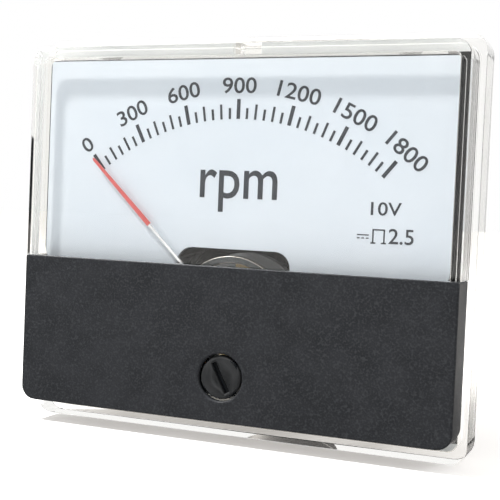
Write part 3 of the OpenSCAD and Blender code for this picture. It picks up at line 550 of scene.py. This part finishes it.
def makeScaleTicks():  # the dial's marks, long every sixth and middling every second
    tree, given, out = geometryTree("scaleTicks", {
        "Count": 37, "Radius": 0.0352, "Half Angle": 0.69, "Long": 0.0029, "Middle": 0.0022,
        "Short": 0.0016, "Long Width": 0.0004, "Short Width": 0.00025, "Thickness": 0.00003,
        "Face": -0.0091, "Centre Z": -0.0172})
    line = addNode(tree, "GeometryNodeMeshLine", {"Count": given["Count"]})
    index = addNode(tree, "GeometryNodeInputIndex").outputs[0]
    share = mathNode(tree, "DIVIDE", index, mathNode(tree, "SUBTRACT", given["Count"], 1.0))
    side = mathNode(tree, "SUBTRACT", product(tree, share, 2.0), 1.0)
    angle = product(tree, side, given["Half Angle"])
    isLong = mathNode(tree, "LESS_THAN", mathNode(tree, "MODULO", index, 6.0), 0.5)
    isMiddle = mathNode(tree, "LESS_THAN", mathNode(tree, "MODULO", index, 2.0), 0.5)
    grown = mathNode(tree, "SUBTRACT", given["Middle"], given["Short"])
    length = mathNode(tree, "MULTIPLY_ADD", isMiddle, grown, given["Short"])
    grown = mathNode(tree, "SUBTRACT", given["Long"], given["Middle"])
    length = mathNode(tree, "MULTIPLY_ADD", isLong, grown, length)
    grown = mathNode(tree, "SUBTRACT", given["Long Width"], given["Short Width"])
    width = mathNode(tree, "MULTIPLY_ADD", isLong, grown, given["Short Width"])
    spot = addNode(tree, "ShaderNodeCombineXYZ", {
        "X": product(tree, mathNode(tree, "SINE", angle), given["Radius"]), "Y": given["Face"],
        "Z": mathNode(tree, "MULTIPLY_ADD", mathNode(tree, "COSINE", angle), given["Radius"],
                      given["Centre Z"])})
    moved = addNode(tree, "GeometryNodeSetPosition", {"Geometry": line.outputs[0],
                                                      "Position": spot.outputs[0]})
    bar = addNode(tree, "GeometryNodeMeshCube", {"Size": (1.0, 1.0, 1.0)})
    based = addNode(tree, "GeometryNodeTransform", {"Geometry": bar.outputs["Mesh"],
                                                    "Translation": (0.0, 0.0, 0.5)})
    size = addNode(tree, "ShaderNodeCombineXYZ", {"X": width, "Y": given["Thickness"], "Z": length})
    turn = addNode(tree, "ShaderNodeCombineXYZ", {"Y": angle})
    many = addNode(tree, "GeometryNodeInstanceOnPoints", {"Points": moved.outputs[0],
        "Instance": based.outputs[0], "Rotation": turn.outputs[0], "Scale": size.outputs[0]})
    return finishTree(tree, many.outputs[0], given, out)


groovedRod = makeGroovedRod()
scaleTicks = makeScaleTicks()
print("growing trees made")

# clear front, strip, housing and dial: node, edge width in mm, edge segments, finish, slot
shells = {
    "clearCover": ("front_cover", 0.35, 3, "clearPlastic", "clear_plastic"),
    "lowerStrip": ("lower_strip", 0.3, 3, "stripCharcoal", "strip_plastic"),
    "housing": ("base_housing", 0.22, 2, "housingBlack", "black_moulding"),
    "dialSheet": ("dial_plate", 0.06, 1, "dialEnamel", "dial_white"),
}


def splitMesh(mesh, cuts):  # new edges where flat cuts cross the faces, the form unchanged
    bm = bmesh.new()
    bm.from_mesh(mesh)
    for toward, at in cuts:
        everything = bm.verts[:] + bm.edges[:] + bm.faces[:]
        toward = Vector(toward)
        bmesh.ops.bisect_plane(bm, geom=everything, plane_co=toward * at * mm, plane_no=toward)
    bm.to_mesh(mesh)
    bm.free()
    return mesh


def paintFaces(mesh, first, second=None, isSecond=None):
    mesh.materials.clear()
    mesh.materials.append(finishes[first])
    if second:
        mesh.materials.append(finishes[second])
        for face in mesh.polygons:
            face.material_index = int(isSecond(face))
    return mesh


slanted, flat = 0.5, 0.95  # how much of a normal lies along Y: less is a side, more is a flat front
# the wall inside the clear cover: its outer sides and two hook notches are pale, in the frame's white
# set darker as painted shade
rim = {"halfWidth": 33.4, "halfHeight": 28.4, "within": 0.99, "notchHalf": 8, "notchFrom": 26.5}
# painted shadow: the dial sheet is painted dark in a thin line along its top and left edges, where the
# gap beside the dial lies in shade
paintedShadowLine = {"top": 26.3, "left": 32.12}  # a thin dark line along the dial's top and left edges


def onRim(face):
    x, z, forth = abs(face.center.x) / mm, abs(face.center.z) / mm, face.normal.y
    side = max(x / rim["halfWidth"], z / rim["halfHeight"]) > rim["within"] and abs(forth) < slanted
    notch = x < rim["notchHalf"] and z > rim["notchFrom"] and forth < slanted
    return face.center.y < 0 and (side or notch)


def inPaintedShadowLine(face):
    outside = face.center.z > paintedShadowLine["top"] * mm or face.center.x < -paintedShadowLine["left"] * mm
    return face.normal.y < -slanted and outside


for name, (node, width, segments, finish, slotName) in shells.items():
    mesh = softCopy(node, width, segments)
    if node == "dial_plate":
        mesh = splitMesh(mesh, (((0, 0, 1), paintedShadowLine["top"]), ((-1, 0, 0), paintedShadowLine["left"])))
        mesh = paintFaces(mesh, finish, "sheetAluminium", lambda face: face.normal.y > -slanted)
        # the thin line along the dial's top and left edges is painted shadow
        mesh.materials.append(finishes["paintedShade"])
        for face in mesh.polygons:
            face.material_index = 2 if inPaintedShadowLine(face) else face.material_index
    elif node == "base_housing":
        # the housing's outer sides and hook notches in a darker white: painted shade
        mesh = paintFaces(mesh, finish, "rimShadedWhite", onRim)
    else:
        mesh = paintFaces(mesh, finish)
    addPiece(name, mesh, "case", [node])
print("shells made")

# marks and words on the dial
dial = {"face": alongY("dial_plate")[0], "lift": 0.03, "centreZ": -17.2, "halfAngle": 39.5,
        "inner": 34.75, "numbersAt": 39.5, "numberSize": 3.25, "numberStretch": 1.14,
        "numberWeight": 0.03, "longMark": 0.55, "shortMark": 0.36}
words = {"rpm": {"size": 8.9, "x": 0.4, "z": 5.95, "stretch": 0.89, "weight": 0.045},
         "10V": {"size": 2.6, "x": 22.5, "z": 4.35, "stretch": 1.18, "weight": 0.02},
         "2.5": {"size": 3.0, "x": 25.15, "z": 0.45, "stretch": 1.04, "weight": 0.02}}
# the signs before the last number, in bars of x and z ranges: a line over three dashes, and a bracket
signs = {"line": (18.8, 20.5, 1.45, 1.6), "dash": (18.8, 19.2, 1.0, 1.15), "dashes": 3, "dashStep": 0.65,
         "sides": ((21.0, 21.2, 0.5, 2.3), (22.6, 22.8, 0.5, 2.3)), "top": (21.0, 22.8, 2.2, 2.4),
         "feet": ((20.8, 21.5, 0.35, 0.55), (22.3, 23.0, 0.35, 0.55))}


def wordMesh(text, look, turn=0.0, level="BOTTOM_BASELINE"):
    curve = bpy.data.curves.new("word", "FONT")
    curve.body = text
    curve.size = look["size"]
    curve.align_x = "CENTER"
    curve.align_y = level
    curve.resolution_u = 4
    curve.offset = look["weight"]
    curve.extrude = dial["lift"] / 2
    mesh = bakeMesh(looseObject(curve))
    stand = (Matrix.Translation(Vector((look["x"], dial["face"] - dial["lift"] / 2, look["z"])) * mm)
             @ Matrix.Rotation(math.radians(turn), 4, "Y") @ Matrix.Rotation(math.pi / 2, 4, "X")
             @ Matrix.Diagonal((mm * look["stretch"], mm, mm, 1)))
    mesh.transform(stand)
    return mesh


printed = [runTree(scaleTicks, {
    "Radius": dial["inner"] * mm, "Half Angle": math.radians(dial["halfAngle"]),
    "Face": (dial["face"] - dial["lift"] / 2) * mm, "Thickness": dial["lift"] * mm,
    "Long Width": dial["longMark"] * mm, "Short Width": dial["shortMark"] * mm,
    "Centre Z": dial["centreZ"] * mm, "Material": finishes["dialInk"]})]
for i, number in enumerate(("0", "300", "600", "900", "1200", "1500", "1800")):
    angle = -dial["halfAngle"] + i * dial["halfAngle"] / 3
    reach = Vector((math.sin(math.radians(angle)), math.cos(math.radians(angle)))) * dial["numbersAt"]
    printed.append(wordMesh(number, {
        "size": dial["numberSize"], "x": reach.x, "z": dial["centreZ"] + reach.y,
        "stretch": dial["numberStretch"], "weight": dial["numberWeight"]}, angle, "CENTER"))
printed += [wordMesh(text, look) for text, look in words.items()]


def barMesh(left, right, bottom, top, shift=0.0):
    return boxMesh((left + shift, dial["face"] - dial["lift"], bottom),
                   (right + shift, dial["face"], top))


printed.append(barMesh(*signs["line"]))
printed += [barMesh(*signs["dash"], i * signs["dashStep"]) for i in range(signs["dashes"])]
printed += [barMesh(*bar) for bar in (*signs["sides"], signs["top"], *signs["feet"])]
for mesh in printed:
    mesh.materials.clear()
addPiece("dialPrint", paintFaces(tidyMesh(joinMeshes(printed)), "dialInk"), "case")
print("dial printed")

# threaded rods: node, finish, slot, and the tree's values in mm, turns per mm and counts
rods = {
    "mountingStuds": ("mounting_studs", "nickelPlate", "nickel", {
        "Radius": 1.5, "Depth": 0.09, "Along Rate": 2.0, "Chamfer": 0.35, "Columns": 32, "Across": 2,
        "Up": 2, "Pitch X": 48.0, "Pitch Z": 48.0, "Centre Z": 0.0}),
    "terminalStuds": ("terminal_studs", "goldBrass", "brass", {
        "Radius": 2.0, "Depth": 0.38, "Along Rate": 1 / 0.7, "Chamfer": 0.5, "Columns": 40, "Across": 2,
        "Up": 1, "Pitch X": 25.0, "Pitch Z": 0.0, "Centre Z": 9.4}),
}


def rodMesh(node, look, start=None, rowsPerTurn=8, rowsPerMm=None):
    low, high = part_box(node)
    start = low.y if start is None else start * mm
    lengths = ("Radius", "Depth", "Chamfer", "Pitch X", "Pitch Z", "Centre Z")
    values = {key: value * mm if key in lengths else value for key, value in look.items()}
    values["Along Rate"] = look["Along Rate"] / mm
    values["Start"], values["Length"] = start, high.y - start
    rate = rowsPerMm or rowsPerTurn * look["Along Rate"]
    values["Rows"] = int(max(rowsPerTurn, (high.y - start) / mm * rate))
    return runTree(groovedRod, values)


for name, (node, finish, slotName, look) in rods.items():
    addPiece(name, paintFaces(rodMesh(node, look), finish), "case", [node], sharp=50)

# the calibration control: bushing, washer, nut and shaft
control = {"z": 12.4, "bore": 2.75, "boreRange": (10, 40), "stem": 2.7, "stemLong": 1.5, "collar": 3.0,
           "collarLong": 1.0, "ease": 0.1, "knurlGap": 1.4, "teeth": 18, "slot": 1.15, "slotLong": 8.2,
           "slotTurn": 86.0, "wallShare": 0.52, "wallNormal": 0.9}
bushing = rodMesh("pot_bushing", {"Radius": 3.5, "Depth": 0.33, "Along Rate": 1 / 0.75, "Chamfer": 0.45,
                                  "Columns": 56, "Centre Z": control["z"]})
wide, (start, end) = control["bore"], control["boreRange"]
bore = turnedMesh([(0, start), (wide, start), (wide, end), (0, end)], 64, control["z"])
addPiece("controlBushing", paintFaces(cutMesh(bushing, bore), "zincPlate"), "case", ["pot_bushing"],
         sharp=50)

shaftStart, shaftEnd = alongY("pot_shaft")
neck, ease, thin, wide = alongY("pot_bushing")[1], control["ease"], control["stem"], control["collar"]
collarEnd, stemEnd = neck + control["collarLong"], neck + control["stemLong"]
stem = turnedMesh([
    (0, shaftStart), (thin - ease, shaftStart), (thin, shaftStart + ease), (thin, neck + ease),
    (wide - ease, neck + ease), (wide, neck + 2 * ease), (wide, collarEnd),
    (thin, collarEnd + 1.5 * ease), (thin, stemEnd), (0, stemEnd)], 64, control["z"])
knurl = rodMesh("pot_shaft", {"Radius": 3.0, "Depth": 0.28, "Along Rate": 0.0,
                              "Around Rate": float(control["teeth"]), "Crest": 1.7, "Chamfer": 0.5,
                              "Columns": control["teeth"] * 8, "Centre Z": control["z"]},
                neck + control["knurlGap"], rowsPerMm=6.0)
slot = boxMesh((-control["slot"] / 2, shaftEnd - control["slotLong"], -5),
               (control["slot"] / 2, shaftEnd + 2, 5))
centre = Vector((0, 0, control["z"] * mm))
turned = Matrix.Rotation(math.radians(control["slotTurn"]), 4, "Y")
slot.transform(Matrix.Translation(centre) @ turned)
shaft = joinMeshes([stem, cutMesh(knurl, slot)])
across = turned @ Vector((1, 0, 0))


# the slot's walls are painted dark as painted shade
def inSlot(face):  # the slot's two walls
    near = abs((face.center - centre).dot(across)) < control["wallShare"] * control["slot"] * mm
    return near and abs(face.normal.dot(across)) > control["wallNormal"]


addPiece("controlShaft", paintFaces(shaft, "chromePlate", "paintedShade", inSlot), "control_shaft",
         ["pot_shaft"], sharp=40)

nut = {"flats": 10.0, "bore": 3.55, "chamfer": 0.6, "margin": 0.1, "sink": 0.4}


def nutMesh():  # a hexagon with both faces chamfered round
    start, end = alongY("pot_nut")
    inner, margin, sink = nut["flats"] / 2, nut["margin"], nut["sink"]
    corner, wide = inner / math.cos(math.pi / 6), nut["bore"] + sink
    drop = (corner - inner) * nut["chamfer"]
    hexagon = turnedMesh([(0, start), (corner, start), (corner, end), (0, end)], 6, control["z"])
    cone = turnedMesh([(0, start), (inner - margin, start), (corner + margin, start + drop),
                       (corner + margin, end - drop), (inner - margin, end), (0, end)],
                      96, control["z"])
    hole = turnedMesh([(0, start - 1), (wide, start - 1), (wide, start), (nut["bore"], start + sink),
                       (nut["bore"], end - sink), (wide, end), (wide, end + 1), (0, end + 1)],
                      64, control["z"])
    return cutMesh(cutMesh(hexagon, cone, "INTERSECT"), hole)


addPiece("controlNut", paintFaces(nutMesh(), "zincPlate"), "case", ["pot_nut"], sharp=25)
addPiece("controlWasher", paintFaces(softCopy("pot_washer", 0.12), "zincPlate"), "case", ["pot_washer"])

# rear cap with its rolled edge
cap = {"radius": 10.9, "z": -14.2, "edge": 0.9, "foot": 24.4, "ease": 0.15, "spigot": 7.6, "rim": 1.3}
capStart, capEnd = alongY("rear_cap")
radius, edge, foot, ease = (cap[key] for key in ("radius", "edge", "foot", "ease"))
capProfile = ([(0, capStart), (cap["spigot"], capStart), (cap["spigot"], foot), (radius - ease, foot),
               (radius, foot + ease)] + arcPoints(radius - edge, capEnd - edge, edge, 0, 90, 8)
              + [(radius - cap["rim"], capEnd), (0, capEnd)])
addPiece("rearCap", paintFaces(turnedMesh(capProfile, 128, cap["z"]), "capBlack"), "case",
         ["rear_cap"], sharp=40)
print("rods, control and cap made")


# zero screw: a head with a rounded rim and a blind slot, on the node's own shaft and pin
screw = {"z": -20.2, "radius": 3.2, "face": -12.3, "back": -11.45, "rim": 0.45, "slotTurn": 61.0,
         "slot": (4.8, 0.85, 0.5), "slotReach": 2.5, "slotTop": -12.25}


def screwMesh():
    radius, face, back, rounded = (screw[key] for key in ("radius", "face", "back", "rim"))
    head = turnedMesh([(0, back), (radius, back)]
                      + arcPoints(radius - rounded, face + rounded, rounded, 0, -90, 5) + [(0, face)],
                      72, screw["z"])
    length, width, depth = screw["slot"]
    slot = boxMesh((-length / 2, face - 1, -width / 2), (length / 2, face + depth, width / 2))
    slot.transform(Matrix.Translation((0, 0, screw["z"] * mm))
                   @ Matrix.Rotation(math.radians(screw["slotTurn"]), 4, "Y"))
    reach = radius + 1
    front = boxMesh((-reach, face - 1, screw["z"] - reach), (reach, back, screw["z"] + reach))
    return joinMeshes([cutMesh(head, slot), cutMesh(softCopy("zero_screw", 0.0), front)])


# the slot's faces, painted very dark in the housing's black as painted shade
def inScrewSlot(face):
    reach = max(abs(face.center.x), abs(face.center.z - screw["z"] * mm))
    return face.center.y > screw["slotTop"] * mm and reach < screw["slotReach"] * mm


# every other node, its own form with softened edges: body, finish, edge width in mm
plainPieces = {
    "zero_screw": ("zero_adjuster", "screwBlack", 0.0),
    "zero_clip": ("zero_adjuster", "plainSteel", 0.04), "zero_lever": ("zero_arm", "turnedBrass", 0.04),
    "dial_screws": ("case", "nickelPlate", 0.08), "terminal_washers": ("case", "nickelPlate", 0.1),
    "terminal_nuts": ("case", "goldBrass", 0.1), "solder_tags": ("case", "nickelPlate", 0.05),
    "pot_case": ("case", "plainSteel", 0.2), "pot_tags": ("case", "nickelPlate", 0.05),
    "pot_wiper": ("control_shaft", "boardBrown", 0.06), "movement_frame": ("case", "greyIron", 0.12),
    "frame_screws": ("case", "nickelPlate", 0.08), "frame_pillars": ("case", "turnedBrass", 0.08),
    "yoke_ring": ("case", "greyIron", 0.15), "core_magnet": ("case", "sinteredMagnet", 0.15),
    "core_straps": ("case", "turnedBrass", 0.05), "front_bridge": ("case", "darkRing", 0.14),
    "rear_bridge": ("case", "turnedBrass", 0.08), "bridge_screws": ("case", "plainSteel", 0.06),
    "jewel_screws": ("case", "turnedBrass", 0.04), "pointer_stops": ("case", "turnedBrass", 0.04),
    "balance_weights": ("moving_coil", "plainSteel", 0.04),
    "coil_former": ("moving_coil", "sheetAluminium", 0.03),
    "coil_winding": ("moving_coil", "copperCoil", 0.1),
    "pivot_staffs": ("moving_coil", "plainSteel", 0.03), "series_resistor": ("case", "lacquerTan", 0.0),
    "lead_wires": ("case", "sleeveBlack", 0.0), "inner_frame": ("case", "frameWhite", 0.1),
}
# painted shade: the inner frame's right side bar is painted black, standing in for the dark gap beside
# the dial
paintedShadeBar = {"from": 29, "cut": 29.4, "half": 27.2}  # of the inner frame, at the dial's right


def onPaintedShadeBar(face):
    return face.center.x > paintedShadeBar["from"] * mm and abs(face.center.z) < paintedShadeBar["half"] * mm


# faces that don't face the front: on the bearing ring these get bright nickel, partly a painted
# highlight
def offFront(face):
    return face.normal.y > -flat


# the bearing ring's front is dark and its turned edges bright nickel, partly a bare turned edge and
# partly a painted highlight; the frame's right bar and the screw's slot are painted dark as painted
# shade
twoTone = {"front_bridge": ("nickelPlate", offFront), "inner_frame": ("housingBlack", onPaintedShadeBar),
           "zero_screw": ("housingBlack", inScrewSlot)}
for node, (body, finish, width) in plainPieces.items():
    parts = node.split("_")
    name = parts[0] + "".join(part.capitalize() for part in parts[1:])
    mesh = screwMesh() if node == "zero_screw" else softCopy(node, width)
    if node == "inner_frame":
        mesh = splitMesh(mesh, (((1, 0, 0), paintedShadeBar["cut"]), ((0, 0, 1), paintedShadeBar["half"]),
                                ((0, 0, 1), -paintedShadeBar["half"])))
    mesh = paintFaces(mesh, finish, *twoTone.get(node, ()))
    addPiece(name + "Piece", mesh, body, [node])

# pointer: a thin bare arm that carries a red vane
needle = {"turn": math.radians(46), "pivotZ": -11.6, "vaneStart": 18.8}
needle["along"] = Vector((-math.sin(needle["turn"]), 0, math.cos(needle["turn"])))
needle["cut"] = needle["along"].z * needle["pivotZ"] + needle["vaneStart"]
pointer = splitMesh(softCopy("pointer", 0.03, 1), ((needle["along"], needle["cut"]),))
pointer = paintFaces(pointer, "sheetAluminium", "needleRed",
                     lambda face: face.center.dot(needle["along"]) > needle["cut"] * mm)
addPiece("pointerPiece", pointer, "moving_coil", ["pointer"])

for node in ("front_hairspring", "rear_hairspring"):
    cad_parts[node].data.materials[0] = finishes["springBronze"]
print("small pieces made")

# floor, light and camera
stage = {"floorLevel": -0.0301, "floorHalf": 3, "floor": 0.9, "floorRough": 0.6, "floorSpecular": 0.2,
         "floorTint": (1.0, 0.95, 0.9, 1), "floorGlow": 0.42, "world": 0.7, "room": 0.05}
# where each blend runs, as from and to, and its level before and after
blends = {"floorMirror": (0.01, 0.11, 0.06, 1.7), "rightFlag": (0.96, 0.99, 1.0, 0.8),
          "leftFlag": (-0.98, -0.95, 0.25, 1.0), "topBox": (0.55, 0.8, 0.0, 1.1),
          "sideBox": (0.5, 0.66, 0.0, 1.3), "sideFoot": (0.08, 0.2, 0.0, 1.0),
          "sideHead": (0.42, 0.54, 1.0, 0.0), "backWall": (0.93, 0.97, 0.0, 0.85),
          "backHead": (0.25, 0.4, 1.0, 0.0)}


def eased(tree, value, blend):
    limits = dict(zip(("From Min", "From Max", "To Min", "To Max"), blends[blend]))
    made = addNode(tree, "ShaderNodeMapRange", {"Value": value, **limits},
                   interpolation_type="SMOOTHSTEP")
    return made.outputs[0]


def rayKinds(tree):  # camera rays, rays through clear pieces, mirrored rays
    path = tree.nodes.new("ShaderNodeLightPath").outputs
    through = path["Is Transmission Ray"]
    mirror = product(tree, path["Is Glossy Ray"], mathNode(tree, "SUBTRACT", 1.0, through))
    return path["Is Camera Ray"], through, mirror


floorMesh = bpy.data.meshes.new("floor")
half, level = stage["floorHalf"], stage["floorLevel"]
corners = [(x * half, y * half, level) for x, y in ((-1, -1), (1, -1), (1, 1), (-1, 1))]
floorMesh.from_pydata(corners, [], [(0, 1, 2, 3)])
floor = looseObject(floorMesh)
floor.name = "floor"
material, tree, shader, place = newMaterial("paleFloor")
fromCamera, through, mirror = rayKinds(tree)
plain = product(tree, mathNode(tree, "SUBTRACT", 1.0, mirror), stage["floor"])
tree.links.new(addNode(tree, "ShaderNodeCombineColor", {0: plain, 1: plain, 2: plain}).outputs[0],
               shader.inputs["Base Color"])
shader.inputs["Roughness"].default_value = stage["floorRough"]
shader.inputs["Specular IOR Level"].default_value = stage["floorSpecular"]
shader.inputs["Emission Color"].default_value = stage["floorTint"]
where = addNode(tree, "ShaderNodeSeparateXYZ", {"Vector": place})
table = eased(tree, where.outputs["Y"], "floorMirror")
glow = mathNode(tree, "MULTIPLY_ADD", mirror, table,
                product(tree, mathNode(tree, "ADD", fromCamera, through), stage["floorGlow"]))
tree.links.new(glow, shader.inputs["Emission Strength"])
floorMesh.materials.append(material)

world = bpy.data.worlds.new("studio")
bpy.context.scene.world = world
world.use_nodes = True
tree = world.node_tree
sky = tree.nodes["Background"]
sky.inputs["Color"].default_value = (1, 1, 1, 1)
fromCamera, through, mirror = rayKinds(tree)
toward = tree.nodes.new("ShaderNodeTexCoord").outputs["Generated"]
toX, toY, toZ = addNode(tree, "ShaderNodeSeparateXYZ", {"Vector": toward}).outputs
# dark flags stand left and right, so that clear edges get an outline
flags = product(tree, eased(tree, toX, "rightFlag"), eased(tree, toX, "leftFlag"))
# what gloss and plating reflect: a dim room, a box overhead, a box low at each side, a pale back wall
sideBox = product(tree, eased(tree, mathNode(tree, "ABSOLUTE", toX), "sideBox"),
                  eased(tree, toZ, "sideFoot"), eased(tree, toZ, "sideHead"))
backWall = product(tree, eased(tree, toY, "backWall"), eased(tree, toZ, "backHead"))
mirrored = stage["room"]
for light in (eased(tree, toZ, "topBox"), sideBox, backWall):
    mirrored = mathNode(tree, "ADD", light, mirrored)
strength, rest = 0.0, 1.0
for ray, level in ((fromCamera, 1.0), (through, flags), (mirror, mirrored)):
    strength = mathNode(tree, "MULTIPLY_ADD", ray, level, strength)
    rest = mathNode(tree, "SUBTRACT", rest, ray)
tree.links.new(mathNode(tree, "MULTIPLY_ADD", rest, stage["world"], strength), sky.inputs["Strength"])


lamps = {"keyLamp": {"place": (-0.36, -0.2, 0.57), "target": (0, 0, 0), "side": 0.035, "watts": 6.5},
         "rearLamp": {"place": (0.35, 0.4, 0.35), "target": (0, 0.01, 0), "side": 0.22, "watts": 1.0}}
for name, look in lamps.items():
    lamp = bpy.data.lights.new(name, "AREA")
    lamp.shape = "SQUARE"
    lamp.size = look["side"]
    lamp.energy = look["watts"]
    obj = looseObject(lamp)
    obj.name = name
    obj.location = look["place"]
    obj.rotation_mode = "QUATERNION"
    obj.rotation_quaternion = (Vector(look["target"]) - Vector(look["place"])).to_track_quat("-Z", "Y")

view = {"place": (59.13, -148.95, 4.16), "target": (2.49, -9.0, -1.55), "roll": 2.457, "lens": 74.13,
        "sensor": 36.0, "clip": (0.01, 20.0)}
camera = bpy.data.cameras.new("camera")
camera.sensor_width = view["sensor"]
camera.lens = view["lens"]
camera.clip_start, camera.clip_end = view["clip"]
cameraObj = looseObject(camera)
cameraObj.name = "camera"
away = (Vector(view["target"]) - Vector(view["place"])).normalized()
cameraObj.rotation_mode = "QUATERNION"
aim = (away.to_track_quat("-Z", "Y").to_matrix().to_4x4()
       @ Matrix.Rotation(math.radians(view["roll"]), 4, "Z"))
cameraObj.location = Vector(view["place"]) * mm
cameraObj.rotation_quaternion = aim.to_quaternion()
bpy.context.scene.camera = cameraObj
bpy.context.scene.view_settings.view_transform = "Standard"
print("stage set")
